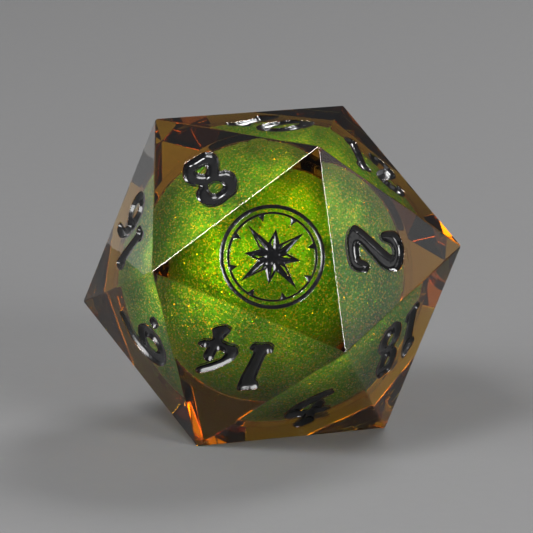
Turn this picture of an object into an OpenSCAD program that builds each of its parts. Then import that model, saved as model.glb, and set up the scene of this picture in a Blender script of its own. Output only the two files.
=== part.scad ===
// Liquid-core twenty-sided die: a clear capsule of shimmering liquid, cast in two pours of amber
// resin, with a number recessed in every face and filled with black enamel ink.
// It rests on one face. The origin is the centre of that face, +Z is up, and +X runs to a corner
// of the ring of six around the middle.

/* [Die] */
// Distance between two opposite faces
face_to_face = 22; // [18:0.5:30]
// Depth to which each sharp edge is broken
edge_break = 0.02; // [0.01:0.01:0.1]

/* [Numbers] */
// Height of a one-digit number, as a share of the die's edge length
single_height = 0.37; // [0.3:0.01:0.4]
// Height of a two-digit number, as a share of the die's edge length
double_height = 0.32; // [0.26:0.01:0.34]
// Gap between two digits, as a share of their height
digit_gap = 0.13; // [0.08:0.01:0.2]
// Depth of the recess under each number
recess_depth = 0.5; // [0.3:0.05:0.8]
// How far the ink's surface stays below the face
ink_sink = 0.06; // [0.02:0.01:0.15]
// Radius of the emblem on the highest face, as a share of the die's edge length
emblem_radius = 0.25; // [0.2:0.005:0.255]

/* [Liquid core] */
// Outside diameter of the capsule
capsule_diameter = 16; // [13:0.5:16]
// Wall of the capsule
capsule_wall = 0.7; // [0.5:0.05:1]
// Height of the lap where the two capsule halves join
lap_height = 0.6; // [0.4:0.1:1]
// Diameter of the filling port and its plug
port_diameter = 1.6; // [1.2:0.1:2.5]
// Film of clearance between the turning fill and the capsule
fill_gap = 0.1; // [0.05:0.05:0.2]

/* [Flakes] */
// Number of flakes afloat near the outside of the liquid
flake_count = 120; // [40:10:160]
// Width of a flake across its corners
flake_width = 0.3; // [0.2:0.05:0.4]
// Thickness of a flake
flake_thickness = 0.05; // [0.04:0.01:0.08]

/* [Hidden] */
INK_NODES = [for (n = [1:19]) str("ink_", n < 10 ? "0" : "", n)];
CORE_NODES = ["capsule_lower", "capsule_upper", "fill_plug", "shimmer_liquid", "gold_flakes", "green_flakes"];

golden = (1 + sqrt(5)) / 2;
edge = face_to_face * sqrt(3) / pow(golden, 2);
half = face_to_face / 2;
centre = [0, 0, half];

// The twelve corners lie on four level rings of three.
cap_ring = edge / sqrt(3);
mid_ring = golden * cap_ring;
mid_level = edge / (2 * sqrt(3) * golden);
edge_distance = edge * golden / 2;

capsule_radius = capsule_diameter / 2;
cavity_radius = capsule_radius - capsule_wall;
fill_radius = cavity_radius - fill_gap;
lap_radius = capsule_radius - capsule_wall / 2;

// Larger than the die, for cutting blocks
span = 2 * face_to_face;
curve_steps = 2;
round_steps = 96;

amber = [0.78, 0.52, 0.14, 0.4];
clear_green = [0.75, 0.85, 0.6, 0.35];
leaf_green = [0.3, 0.55, 0.05];
ink_black = [0.03, 0.03, 0.03];

function ring(radius, first, level) =
    [for (i = [0:2]) [radius * cos(first + 120 * i), radius * sin(first + 120 * i), level]];

// Corners 0-2 top, 3-5 upper middle, 6-8 lower middle and 9-11 bottom, about the die's centre
corners = concat(
    ring(cap_ring, 180, half),
    ring(mid_ring, 240, mid_level),
    ring(mid_ring, 60, -mid_level),
    ring(cap_ring, 240, -half)
);

// Each face: its number, the corner that the number's top points to, and the other two corners.
// Numbers on opposite faces add up to 21. The highest face holds the emblem.
faces = [
    [20, 8, 1, 3], [8, 0, 1, 3], [2, 4, 1, 8], [14, 9, 3, 8], [10, 2, 0, 1],
    [12, 2, 1, 4], [16, 7, 0, 3], [6, 7, 3, 9], [4, 8, 9, 10], [18, 10, 8, 4],
    [1, 5, 11, 6], [13, 10, 11, 6], [19, 7, 11, 5], [7, 2, 6, 5], [11, 9, 10, 11],
    [9, 9, 11, 7], [5, 4, 10, 6], [15, 4, 6, 2], [17, 5, 2, 0], [3, 0, 5, 7]
];
function face_of(number) = [for (f = faces) if (f[0] == number) f][0];

// The digits, one unit high on the base line. Each is a list of closed loops of knots, the outline
// first and then its counters. A smooth curve runs through the knots.
zero = [
    [[0.1, 1], [0.25, 0.9], [0.31, 0.68], [0.28, 0.36], [0.16, 0.1], [-0.06, 0],
        [-0.22, 0.08], [-0.3, 0.3], [-0.27, 0.64], [-0.14, 0.9]],
    [[0.05, 0.82], [0.12, 0.66], [0.1, 0.38], [-0.02, 0.18], [-0.11, 0.34], [-0.08, 0.64]]
];
one = [
    [[-0.15, 0.84], [-0.02, 0.94], [0.12, 1], [0.14, 0.76], [0.11, 0.48], [0.1, 0.25],
        [0.17, 0.22], [0.15, 0.11], [0.04, 0.06], [-0.07, 0], [-0.16, 0.03], [-0.16, 0.13],
        [-0.1, 0.18], [-0.08, 0.42], [-0.08, 0.69], [-0.13, 0.72]]
];
two = [
    [[-0.2, 0.64], [-0.22, 0.84], [-0.15, 0.95], [0, 1], [0.16, 0.97], [0.28, 0.88],
        [0.31, 0.74], [0.26, 0.6], [0.12, 0.44], [-0.06, 0.23], [0.12, 0.2], [0.17, 0.3],
        [0.24, 0.35], [0.31, 0.28], [0.3, 0.14], [0.22, 0.03], [0.08, 0], [-0.12, 0.01],
        [-0.24, 0.07], [-0.31, 0.17], [-0.25, 0.3], [-0.1, 0.5], [0.06, 0.7], [0.1, 0.8],
        [0.03, 0.83], [-0.05, 0.78], [-0.1, 0.65]]
];
three = [
    [[-0.26, 0.83], [-0.18, 0.95], [-0.03, 1], [0.14, 0.97], [0.26, 0.86], [0.25, 0.7],
        [0.15, 0.58], [0.26, 0.48], [0.3, 0.32], [0.25, 0.14], [0.12, 0.03], [-0.06, 0],
        [-0.21, 0.04], [-0.29, 0.15], [-0.24, 0.26], [-0.14, 0.23], [-0.02, 0.17], [0.09, 0.22],
        [0.12, 0.33], [0.05, 0.43], [-0.08, 0.48], [-0.07, 0.56], [0.04, 0.63], [0.08, 0.73],
        [0.03, 0.82], [-0.07, 0.83], [-0.15, 0.74]]
];
four = [
    [[0.15, 1], [0.19, 0.92], [0.04, 0.75], [-0.08, 0.62], [-0.12, 0.48], [-0.01, 0.47],
        [0.02, 0.66], [0.1, 0.73], [0.17, 0.66], [0.16, 0.5], [0.23, 0.53], [0.31, 0.49],
        [0.25, 0.4], [0.15, 0.35], [0.14, 0.26], [0.18, 0.15], [0.13, 0.07], [0.03, 0],
        [-0.08, 0.03], [-0.06, 0.14], [-0.02, 0.28], [-0.14, 0.3], [-0.25, 0.28], [-0.31, 0.38],
        [-0.26, 0.55], [-0.14, 0.73], [0, 0.89]]
];
five = [
    [[-0.2, 0.98], [0, 0.95], [0.18, 1], [0.27, 0.95], [0.22, 0.83], [0.05, 0.79],
        [-0.06, 0.78], [-0.06, 0.65], [0.08, 0.64], [0.23, 0.54], [0.29, 0.36], [0.25, 0.16],
        [0.12, 0.03], [-0.06, 0], [-0.21, 0.04], [-0.29, 0.15], [-0.24, 0.26], [-0.14, 0.23],
        [-0.03, 0.17], [0.08, 0.22], [0.12, 0.34], [0.07, 0.45], [-0.05, 0.49], [-0.17, 0.46],
        [-0.23, 0.52], [-0.22, 0.7], [-0.25, 0.88]]
];
six = [
    [[0.2, 1], [0.28, 0.93], [0.18, 0.84], [0.02, 0.74], [-0.05, 0.6], [0.06, 0.6],
        [0.2, 0.54], [0.29, 0.41], [0.3, 0.25], [0.22, 0.08], [0.06, 0], [-0.1, 0.01],
        [-0.24, 0.11], [-0.3, 0.3], [-0.28, 0.52], [-0.19, 0.73], [-0.03, 0.9]],
    [[-0.09, 0.32], [-0.04, 0.43], [0.05, 0.44], [0.11, 0.34], [0.1, 0.22], [0.02, 0.14],
        [-0.06, 0.2]]
];
seven = [
    [[-0.26, 0.98], [-0.08, 0.94], [0.12, 0.96], [0.24, 1], [0.3, 0.92], [0.22, 0.75],
        [0.11, 0.52], [0.05, 0.28], [0.05, 0.09], [-0.02, 0], [-0.12, 0.02], [-0.16, 0.14],
        [-0.12, 0.34], [-0.02, 0.56], [0.07, 0.76], [-0.06, 0.78], [-0.17, 0.76], [-0.21, 0.68],
        [-0.29, 0.71], [-0.3, 0.86]]
];
eight = [
    [[-0.1, 1], [0.03, 0.98], [0.18, 0.95], [0.26, 0.85], [0.27, 0.71], [0.21, 0.58],
        [0.17, 0.49], [0.25, 0.41], [0.29, 0.27], [0.25, 0.12], [0.15, 0.01], [0, 0],
        [-0.13, 0.01], [-0.24, 0.1], [-0.29, 0.27], [-0.25, 0.41], [-0.15, 0.5], [-0.22, 0.61],
        [-0.25, 0.74], [-0.2, 0.88]],
    [[-0.07, 0.77], [0.01, 0.8], [0.09, 0.76], [0.07, 0.68], [0.01, 0.61], [-0.05, 0.68]],
    [[-0.08, 0.38], [0.01, 0.41], [0.08, 0.31], [0.07, 0.21], [-0.02, 0.17], [-0.09, 0.22]]
];
// A nine is a six turned upside down.
nine = [for (loop = six) [for (p = loop) [-p[0], 1 - p[1]]]];
digits = [zero, one, two, three, four, five, six, seven, eight, nine];
digit_width = [0.62, 0.34, 0.62, 0.6, 0.62, 0.58, 0.6, 0.6, 0.58, 0.6];

// The mark beside a six or a nine, which tells them apart
dot = [[0.42, 0.17], [0.52, 0.07], [0.43, -0.02], [0.34, 0.08]];

function blend(a, b, c, d, t) =
    0.5 * (2 * b + (c - a) * t + (2 * a - 5 * b + 4 * c - d) * t * t + (3 * b - a - 3 * c + d) * t * t * t);
function knot(loop, i) = loop[(i + len(loop)) % len(loop)];
function smooth(loop) =
    [for (i = [0:len(loop) - 1]) for (j = [0:curve_steps - 1])
        blend(knot(loop, i - 1), knot(loop, i), knot(loop, i + 1), knot(loop, i + 2), j / curve_steps)];

module digit(n) {
    difference() {
        polygon(smooth(digits[n][0]));
        for (i = [1:1:len(digits[n]) - 1]) polygon(smooth(digits[n][i]));
    }
}

// A number, centred on the origin
module number(n) {
    tens = floor(n / 10);
    units = n % 10;
    size = edge * (tens > 0 ? double_height : single_height);
    line = tens > 0 ? digit_width[tens] + digit_gap + digit_width[units] : 0;
    scale([size, size]) translate([0, -0.5]) {
        if (tens > 0) translate([(digit_width[tens] - line) / 2, 0]) digit(tens);
        translate([(tens > 0 ? line - digit_width[units] : 0) / 2, 0]) digit(units);
        if (n == 6 || n == 9) polygon(dot);
    }
}

// The emblem, of unit radius: a compass star whose rays are half solid and half outline, inside two
// rims. Small ticks on the inner rim stand between the rays.
long_ray = 0.76;
short_ray = 0.54;
ray_base = 0.28;
open_share = 0.42;
rim_width = 0.07;
inner_rim = 0.86;
inner_rim_width = 0.04;
tick_base = 0.06;
tick_length = 0.13;

function turned(p, angle) = [p[0] * cos(angle) - p[1] * sin(angle), p[0] * sin(angle) + p[1] * cos(angle)];
function shrunk(points, share) =
    let (middle = (points[0] + points[1] + points[2]) / 3) [for (p = points) middle + (p - middle) * share];
function ray_tip(i) = turned([0, i % 2 == 0 ? long_ray : short_ray], 45 * i);
function ray_root(i) = turned([0, ray_base], 45 * i + 22.5);

module star() {
    difference() {
        polygon([for (i = [0:7]) each [ray_tip(i), ray_root(i)]]);
        for (i = [0:7]) polygon(shrunk([[0, 0], ray_tip(i), ray_root(i)], open_share));
    }
}

module rim(outer, width) {
    difference() {
        circle(r = outer, $fn = round_steps);
        circle(r = outer - width, $fn = round_steps);
    }
}

module rim_tick(angle) {
    foot = inner_rim - inner_rim_width / 2;
    rotate(angle) polygon([[-tick_base, foot], [0, foot - tick_length], [tick_base, foot]]);
}

module emblem() {
    scale([edge * emblem_radius, edge * emblem_radius]) {
        star();
        rim(1, rim_width);
        rim(inner_rim, inner_rim_width);
        for (i = [0:7]) rim_tick(45 * i + 22.5);
    }
}

function unit(v) = v / norm(v);

// Puts its children on a face, with the face as their ground and the number's top along +Y
module on_face(f) {
    top = corners[f[1]];
    middle = (top + corners[f[2]] + corners[f[3]]) / 3;
    out = unit(middle);
    up = unit(top - middle);
    right = cross(up, out);
    place = centre + middle;
    multmatrix([
        [right[0], up[0], out[0], place[0]],
        [right[1], up[1], out[1], place[1]],
        [right[2], up[2], out[2], place[2]]
    ]) children();
}

module marking(n) {
    if (n == 20) {
        emblem();
    } else {
        number(n);
    }
}

module face_recess(n) {
    on_face(face_of(n)) translate([0, 0, -recess_depth]) linear_extrude(2 * recess_depth) marking(n);
}

module face_ink(n) {
    color(ink_black) on_face(face_of(n)) translate([0, 0, -recess_depth])
        linear_extrude(recess_depth - ink_sink) marking(n);
}

// A slab through the die's centre, square to a direction
module slab(direction, thickness) {
    rotate([0, acos(unit(direction)[2]), atan2(direction[1], direction[0])])
        cube([span, span, thickness], center = true);
}

// One direction of each opposite pair
function ahead(v) = v[2] > 0.01 || (abs(v[2]) <= 0.01 && (v[1] > 0.01 || (abs(v[1]) <= 0.01 && v[0] > 0)));
face_directions = [for (f = faces) let (m = corners[f[1]] + corners[f[2]] + corners[f[3]]) if (ahead(m)) m];
edge_directions = [for (i = [0:10]) for (j = [i + 1:11])
    let (m = corners[i] + corners[j]) if (norm(corners[i] - corners[j]) < 1.01 * edge && ahead(m)) m];

// The twenty-sided blank, its sharp edges just broken
module die_blank() {
    translate(centre) intersection() {
        intersection_for (d = face_directions) slab(d, face_to_face);
        intersection_for (d = edge_directions) slab(d, 2 * (edge_distance - edge_break));
    }
}

// The half of the die under the level to which the first pour is filled, or the half above it
module pour(side) {
    difference() {
        intersection() {
            die_blank();
            translate([-span / 2, -span / 2, side < 0 ? half - span : half]) cube(span);
        }
        translate(centre) sphere(r = capsule_radius, $fn = round_steps);
        for (n = [1:20]) face_recess(n);
    }
}

module resin_lower_pour() {
    color(amber) pour(-1);
}

module resin_upper_pour() {
    color(amber) pour(1);
}

module capsule_shell() {
    difference() {
        sphere(r = capsule_radius, $fn = round_steps);
        sphere(r = cavity_radius, $fn = round_steps);
    }
}

// The lower half of the capsule, with a thin lip that stands up inside the upper half
module capsule_lower() {
    color(clear_green) translate(centre) intersection() {
        capsule_shell();
        union() {
            translate([-span / 2, -span / 2, -span]) cube(span);
            translate([0, 0, -1]) cylinder(r = lap_radius, h = lap_height + 1, $fn = round_steps);
        }
    }
}

// The upper half of the capsule, with its filling port at the top
module capsule_upper() {
    color(clear_green) translate(centre) difference() {
        intersection() {
            capsule_shell();
            translate([-span / 2, -span / 2, 0]) cube(span);
        }
        translate([0, 0, -1]) cylinder(r = lap_radius, h = lap_height + 1, $fn = round_steps);
        cylinder(d = port_diameter, h = span, $fn = round_steps);
    }
}

// The stopper that closes the port, flush with the capsule inside and out
module fill_plug() {
    color("white") translate(centre) intersection() {
        capsule_shell();
        cylinder(d = port_diameter, h = span, $fn = round_steps);
    }
}

module shimmer_liquid() {
    color(leaf_green) translate(centre) sphere(r = fill_radius, $fn = round_steps);
}

// Flakes follow a spiral over the liquid, each at its own depth and tilt. Three in five are gold.
module flakes(first, last) {
    for (i = [0:flake_count - 1]) {
        if (i % 5 >= first && i % 5 <= last) {
            height = 1 - 2 * (i + 0.5) / flake_count;
            depth = fill_radius * (0.82 + 0.14 * ((i * golden) % 1));
            round_part = sqrt(1 - height * height);
            turn = i * 137.508;
            translate(centre + depth * [round_part * cos(turn), round_part * sin(turn), height])
                rotate([47 * i, 71 * i, 113 * i])
                    cylinder(d = flake_width, h = flake_thickness, center = true, $fn = 6);
        }
    }
}

module gold_flakes() {
    color("gold") flakes(0, 2);
}

module green_flakes() {
    color("lime") flakes(3, 4);
}

resin_lower_pour();
resin_upper_pour();
capsule_lower();
capsule_upper();
fill_plug();
shimmer_liquid();
gold_flakes();
green_flakes();
for (n = [1:19]) {
    face_ink(n);
}
face_ink(20);  // ink_emblem
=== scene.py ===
"""A liquid-core twenty-sided die: amber resin round a capsule of green shimmer, with inked numbers."""

import logging
import math
from dataclasses import dataclass, field
from enum import Enum
from typing import Any, Iterable, Optional, Sequence, Union

import bmesh
import bpy
import numpy as np
from mathutils import Matrix, Vector
from mathutils.geometry import delaunay_2d_cdt


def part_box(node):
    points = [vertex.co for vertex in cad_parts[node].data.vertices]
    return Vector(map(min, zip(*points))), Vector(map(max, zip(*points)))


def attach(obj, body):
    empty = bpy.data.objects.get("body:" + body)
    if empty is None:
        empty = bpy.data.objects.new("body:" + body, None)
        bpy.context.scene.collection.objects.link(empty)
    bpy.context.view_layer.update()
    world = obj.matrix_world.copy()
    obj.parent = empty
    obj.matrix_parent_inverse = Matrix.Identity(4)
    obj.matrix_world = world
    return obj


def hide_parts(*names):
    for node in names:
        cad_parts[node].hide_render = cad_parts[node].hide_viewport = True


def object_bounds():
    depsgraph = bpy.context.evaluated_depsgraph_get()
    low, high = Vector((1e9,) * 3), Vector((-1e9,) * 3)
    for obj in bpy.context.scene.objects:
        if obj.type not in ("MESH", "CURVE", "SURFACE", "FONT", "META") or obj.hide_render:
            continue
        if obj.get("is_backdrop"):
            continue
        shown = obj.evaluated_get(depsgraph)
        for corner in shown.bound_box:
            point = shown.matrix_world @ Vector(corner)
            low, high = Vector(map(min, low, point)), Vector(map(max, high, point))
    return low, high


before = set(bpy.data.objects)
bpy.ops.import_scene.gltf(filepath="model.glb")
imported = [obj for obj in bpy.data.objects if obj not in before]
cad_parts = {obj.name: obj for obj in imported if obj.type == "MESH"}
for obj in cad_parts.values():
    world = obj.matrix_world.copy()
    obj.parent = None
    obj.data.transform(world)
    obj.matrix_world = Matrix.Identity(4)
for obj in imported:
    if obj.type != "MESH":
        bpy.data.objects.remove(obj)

LOG = logging.getLogger("die")
MM = 0.001
GOLDEN = (1 + math.sqrt(5)) / 2
EMBLEM_FACE = 20  # the face that holds the emblem and no number
DOTTED = (6, 9)  # the numbers that need a dot to be told apart
SAME_POINT = 1e-9  # metres within which two points are one
HULL_TRIANGLES = 0  # the triangulation's output that fills the whole hull

Colour = tuple[float, float, float, float]
Stops = tuple[tuple[float, Colour], ...]
Knots = tuple[tuple[float, float], ...]
BLACK: Colour = (0.0, 0.0, 0.0, 1.0)
NOISE_SPAN = (0.3, 0.7)  # between these lie most of a noise's values


class Body(Enum):
    """The two bodies of the die: what is cast, and what turns inside it."""

    DIE = "die"
    FILL = "fill"


class Slot(Enum):
    """The finishes that the record names."""

    RESIN = "amber_resin"
    CAPSULE = "clear_capsule"
    PLUG = "port_plug"
    LIQUID = "shimmer_liquid"
    GOLD = "gold_flake"
    GREEN = "green_flake"
    INK = "black_ink"


# ---- Node trees ----


class Wire:
    """A value in a node tree. Arithmetic on it adds Math nodes to the tree."""

    def __init__(self, graph: "Graph", socket: bpy.types.NodeSocket) -> None:
        """Wraps one output socket.

        Args:
            graph: The tree that the socket belongs to.
            socket: The output socket.
        """
        self.graph = graph
        self.socket = socket

    def __add__(self, other: "Number") -> "Wire":
        """Self plus other."""
        return self.graph.maths("ADD", self, other)

    __radd__ = __add__

    def __sub__(self, other: "Number") -> "Wire":
        """Self minus other."""
        return self.graph.maths("SUBTRACT", self, other)

    def __rsub__(self, other: "Number") -> "Wire":
        """Other minus self."""
        return self.graph.maths("SUBTRACT", other, self)

    def __mul__(self, other: "Number") -> "Wire":
        """Self times other."""
        return self.graph.maths("MULTIPLY", self, other)

    __rmul__ = __mul__

    def __pow__(self, other: "Number") -> "Wire":
        """Self to the power of other."""
        return self.graph.maths("POWER", self, other)

    def cosine(self) -> "Wire":
        """The cosine of self, in radians."""
        return self.graph.maths("COSINE", self, 0.0)

    def sine(self) -> "Wire":
        """The sine of self, in radians."""
        return self.graph.maths("SINE", self, 0.0)


Number = Union[Wire, float]


class Graph:
    """A node tree with one way to add any node."""

    def __init__(self, tree: bpy.types.NodeTree) -> None:
        """Starts from an empty tree.

        Args:
            tree: The tree to build in. Its nodes are removed.
        """
        self.tree = tree
        tree.nodes.clear()

    def node(
        self,
        kind: str,
        settings: Optional[dict[str, Any]] = None,
        inputs: Optional[dict[Union[str, int], Any]] = None,
        output: Union[str, int] = 0,
    ) -> Optional[Wire]:
        """Adds a node.

        Args:
            kind: The node's type name.
            settings: Attributes of the node, set first. "stops" holds a colour ramp's stops.
            inputs: Values or wires, by the input's name or number.
            output: The output that is wanted, by name or number.

        Returns:
            The wanted output, or None if the node has no outputs.
        """
        made = self.tree.nodes.new(kind)
        for name, value in (settings or {}).items():
            if name == "stops":
                self._set_stops(made.color_ramp, value)
            else:
                setattr(made, name, value)
        for key, value in (inputs or {}).items():
            if isinstance(value, Wire):
                self.tree.links.new(value.socket, made.inputs[key])
            else:
                made.inputs[key].default_value = value
        return Wire(self, made.outputs[output]) if len(made.outputs) else None

    def maths(self, operation: str, first: Number, second: Number) -> Wire:
        """A Math node of an operation on two values."""
        return self.node("ShaderNodeMath", {"operation": operation}, {0: first, 1: second})

    def vector_maths(self, operation: str, *values: Any) -> Wire:
        """A Vector Math node of an operation on values, given in the order of its inputs."""
        output = "Value" if operation in ("LENGTH", "DOT_PRODUCT") else "Vector"
        return self.node("ShaderNodeVectorMath", {"operation": operation}, dict(enumerate(values)), output)

    @staticmethod
    def _set_stops(ramp: bpy.types.ColorRamp, stops: Stops) -> None:
        """Gives a colour ramp its stops.

        Args:
            ramp: The ramp.
            stops: Each stop's place and colour, in order.
        """
        while len(ramp.elements) > 1:
            ramp.elements.remove(ramp.elements[-1])
        ramp.elements[0].position, ramp.elements[0].color = stops[0]
        for place, colour in stops[1:]:
            ramp.elements.new(place).color = colour


class Shader(Graph):
    """A material's node tree, with the few nodes that every finish here uses."""

    def __init__(self, name: str) -> None:
        """Makes the material.

        Args:
            name: The material's name.
        """
        self.material = bpy.data.materials.new(name)
        self.material.use_nodes = True
        super().__init__(self.material.node_tree)
        self.place = self.node("ShaderNodeTexCoord", output="Object")

    def noise(
        self, scale: float, detail: float = 2.0, place: Optional[Wire] = None, output: str = "Fac"
    ) -> Wire:
        """Smooth noise.

        Args:
            scale: Waves to a metre.
            detail: Octaves of finer noise.
            place: Where it is read, or None for the object's own coordinates.
            output: "Fac" for a value or "Color" for a vector.

        Returns:
            The noise.
        """
        inputs = {"Vector": place or self.place, "Scale": scale, "Detail": detail}
        return self.node("ShaderNodeTexNoise", {"noise_dimensions": "3D"}, inputs, output)

    def cells(self, scale: float) -> Wire:
        """Random colours in cells, so many to a metre, for flakes and grains."""
        inputs = {"Vector": self.place, "Scale": scale}
        return self.node("ShaderNodeTexVoronoi", {"feature": "F1"}, inputs, "Color")

    def channel(self, colour: Wire, index: int) -> Wire:
        """One channel of a colour, counted from red."""
        return self.node("ShaderNodeSeparateColor", None, {0: colour}, index)

    def ramp(self, level: Wire, stops: Stops) -> Wire:
        """A colour that follows a value through a ramp's stops."""
        return self.node("ShaderNodeValToRGB", {"stops": stops}, {0: level}, "Color")

    def mixed(self, share: Number, first: Union[Wire, Colour], second: Union[Wire, Colour]) -> Wire:
        """Two colours mixed by a share of the second."""
        settings = {"data_type": "RGBA", "clamp_factor": True}
        return self.node("ShaderNodeMix", settings, {0: share, 6: first, 7: second}, 2)

    def between(
        self, level: Wire, low: float, high: float, out_low: float = 0.0, out_high: float = 1.0
    ) -> Wire:
        """A value's range stretched to another, and held inside it."""
        inputs = {0: level, 1: low, 2: high, 3: out_low, 4: out_high}
        return self.node("ShaderNodeMapRange", {"clamp": True}, inputs)

    def bump(
        self, height: Wire, distance: float, strength: float = 1.0, under: Optional[Wire] = None
    ) -> Wire:
        """A normal from a height.

        Args:
            height: The height, from 0 to 1.
            distance: How deep a height of 1 is, in metres.
            strength: How much of it shows.
            under: A normal that it adds to.

        Returns:
            The normal.
        """
        inputs = {"Height": height, "Distance": distance, "Strength": strength}
        if under is not None:
            inputs["Normal"] = under
        return self.node("ShaderNodeBump", None, inputs, "Normal")

    def finish(self, inputs: dict[Union[str, int], Any], volume: Optional[Wire] = None) -> bpy.types.Material:
        """Closes the material with a Principled surface.

        Args:
            inputs: The surface's inputs.
            volume: The volume inside, if there is one.

        Returns:
            The material.
        """
        surface = self.node("ShaderNodeBsdfPrincipled", None, inputs)
        outputs: dict[Union[str, int], Any] = {"Surface": surface}
        if volume is not None:
            outputs["Volume"] = volume
        self.node("ShaderNodeOutputMaterial", None, outputs)
        return self.material


# ---- Finishes ----


@dataclass(frozen=True)
class AmberResin:
    """Polished, transparent amber resin."""

    slot: Slot = Slot.RESIN
    ior: float = 1.54
    tint: Colour = (0.92, 0.81, 0.02, 1.0)
    density: float = 420.0
    clear: Colour = (1.0, 0.985, 0.95, 1.0)
    hazy: Colour = (0.97, 0.94, 0.87, 1.0)
    haze_waves: float = 220.0
    polish_waves: float = 420.0
    polish_depth: float = 0.004 * MM

    def material(self) -> bpy.types.Material:
        """Builds the material: clear surface, amber volume, and a very slight waviness from polishing.

        Returns:
            The material.
        """
        shader = Shader(self.slot.value)
        haze = shader.noise(self.haze_waves, detail=3.0)
        colour = shader.mixed(shader.between(haze, low=0.35, high=0.7), self.clear, self.hazy)
        polish = shader.noise(self.polish_waves, detail=1.0)
        waviness = shader.bump(polish, self.polish_depth, strength=0.35)
        absorbs = {"Color": self.tint, "Density": self.density}
        volume = shader.node("ShaderNodeVolumeAbsorption", None, absorbs, "Volume")
        inputs = {
            "Base Color": colour,
            "Roughness": 0.0,
            "IOR": self.ior,
            "Transmission Weight": 1.0,
            "Normal": waviness,
        }
        return shader.finish(inputs, volume)


@dataclass(frozen=True)
class ClearShell:
    """Clear plastic that all but disappears inside the resin, whose index it nearly matches."""

    slot: Slot = Slot.CAPSULE
    index_ratio: float = 1.008
    colour: Colour = (0.98, 0.99, 0.94, 1.0)
    uneven: Colour = (0.95, 0.97, 0.88, 1.0)
    uneven_waves: float = 300.0

    def material(self) -> bpy.types.Material:
        """Builds the material, a little uneven in colour as a moulded shell is.

        Returns:
            The material.
        """
        shader = Shader(self.slot.value)
        colour = shader.mixed(shader.noise(self.uneven_waves), self.colour, self.uneven)
        inputs = {"Base Color": colour, "Roughness": 0.0, "IOR": self.index_ratio, "Transmission Weight": 1.0}
        return shader.finish(inputs)


@dataclass(frozen=True)
class ShimmerLiquid:
    """Mica in oil: a dense green liquid with a metallic sheen that swirls from dark to yellow-green."""

    slot: Slot = Slot.LIQUID
    swirl_waves: float = 95.0
    drift_waves: float = 57.0
    drift: float = 0.012
    fleck_cells: float = 11500.0
    fleck_share: float = 0.3
    fleck_tilt: float = 0.5
    spark_cells: float = 10500.0
    first_spark: float = 0.72
    full_spark: float = 0.9
    metallic: tuple[float, float] = (0.45, 0.75)
    roughness: tuple[float, float] = (0.32, 0.5)
    mica: Stops = (
        (0.0, (0.022, 0.260, 0.004, 1.0)),
        (0.35, (0.085, 0.560, 0.012, 1.0)),
        (0.7, (0.260, 0.880, 0.030, 1.0)),
        (1.0, (0.750, 1.000, 0.090, 1.0)),
    )
    sparks: Stops = (
        (0.0, (1.0, 0.60, 0.02, 1.0)),
        (0.15, (0.90, 0.85, 0.05, 1.0)),
        (0.4, (0.80, 1.0, 0.10, 1.0)),
        (0.7, (0.75, 1.0, 0.30, 1.0)),
        (0.85, (0.30, 1.0, 0.12, 1.0)),
        (1.0, (0.06, 0.90, 0.25, 1.0)),
    )

    def material(self) -> bpy.types.Material:
        """Builds the material: slow swirls of mica, each fleck of it tilted its own way, and sparks.

        Returns:
            The material.
        """
        shader = Shader(self.slot.value)
        flow = shader.noise(self.drift_waves, output="Color")
        drifted = shader.vector_maths("MULTIPLY_ADD", flow, (self.drift,) * 3, shader.place)
        swirl = shader.noise(self.swirl_waves, detail=4.0, place=drifted)
        fleck = shader.cells(self.fleck_cells)
        fleck_level = shader.channel(fleck, 0)
        swirl_level = shader.between(swirl, *NOISE_SPAN)
        level = swirl_level * (1 - self.fleck_share) + fleck_level * self.fleck_share
        colour = shader.ramp(level, self.mica)
        tilt = shader.vector_maths("MULTIPLY_ADD", fleck, (self.fleck_tilt,) * 3, (-self.fleck_tilt / 2,) * 3)
        normal = shader.node("ShaderNodeNewGeometry", output="Normal")
        facing = shader.vector_maths("NORMALIZE", shader.vector_maths("ADD", normal, tilt))
        spark = shader.cells(self.spark_cells)
        spark_colour = shader.ramp(shader.channel(spark, 0), self.sparks)
        lit = shader.between(shader.channel(spark, 1), self.first_spark, self.full_spark)
        inputs = {
            "Base Color": shader.mixed(lit, colour, spark_colour),
            "Metallic": shader.between(swirl, 0.3, 0.75, *self.metallic),
            "Roughness": shader.between(fleck_level, 0.0, 1.0, *self.roughness),
            "Normal": facing,
        }
        return shader.finish(inputs)


@dataclass(frozen=True)
class GlitterFilm:
    """Cut metallised film, each flake of its own shade."""

    slot: Slot
    shades: Stops
    tint_name: str = "tint"
    metallic: float = 0.85
    roughness: tuple[float, float] = (0.14, 0.3)

    def material(self) -> bpy.types.Material:
        """Builds the material from the tint that each flake carries.

        Returns:
            The material.
        """
        shader = Shader(self.slot.value)
        tint = shader.node("ShaderNodeAttribute", {"attribute_name": self.tint_name}, None, "Fac")
        colour = shader.ramp(tint, self.shades)
        inputs = {
            "Base Color": colour,
            "Metallic": self.metallic,
            "Roughness": shader.between(tint, 0.0, 1.0, *self.roughness),
        }
        return shader.finish(inputs)


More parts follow.
